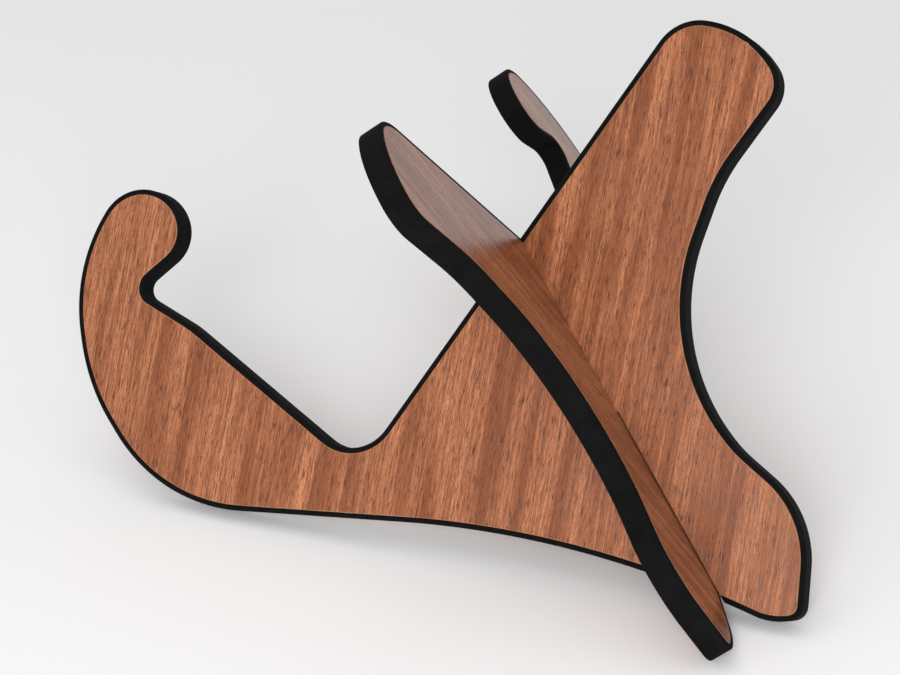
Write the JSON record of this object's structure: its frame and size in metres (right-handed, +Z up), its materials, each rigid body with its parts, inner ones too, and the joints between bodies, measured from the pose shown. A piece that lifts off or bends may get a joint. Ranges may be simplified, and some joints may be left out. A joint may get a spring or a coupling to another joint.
{
  "type": "guitar stand",
  "caption": "Take-apart wooden guitar stand: crossed slotted boards with a hook in front, a leaning backrest and a soft black edge.",
  "frame": {"origin": "on the floor, at the middle of the footprint box", "axes": "+X to the right as seen from the front, +Y to the back, +Z up"},
  "size_m": [0.3172, 0.3588, 0.2249],
  "materials": {
    "wood_face": "reddish brown wood-grain face, satin",
    "core_board": "plain wood board, hidden but in the slots",
    "edge_band": "matt black foam rubber with a fine pebbled skin"
  },
  "bodies": {
    "left_board": {"left_core_panel": "core_board", "left_upper_wood_face": "wood_face", "left_lower_wood_face": "wood_face", "left_edge_band": "edge_band"},
    "right_board": {"right_core_panel": "core_board", "right_upper_wood_face": "wood_face", "right_lower_wood_face": "wood_face", "right_edge_band": "edge_band"}
  },
  "joints": [
    {"name": "board_lift", "type": "slide", "parent": "left_board", "child": "right_board", "axis": [0, -0.7703, 0.6377], "range_m": [0, 0.1]}
  ]
}
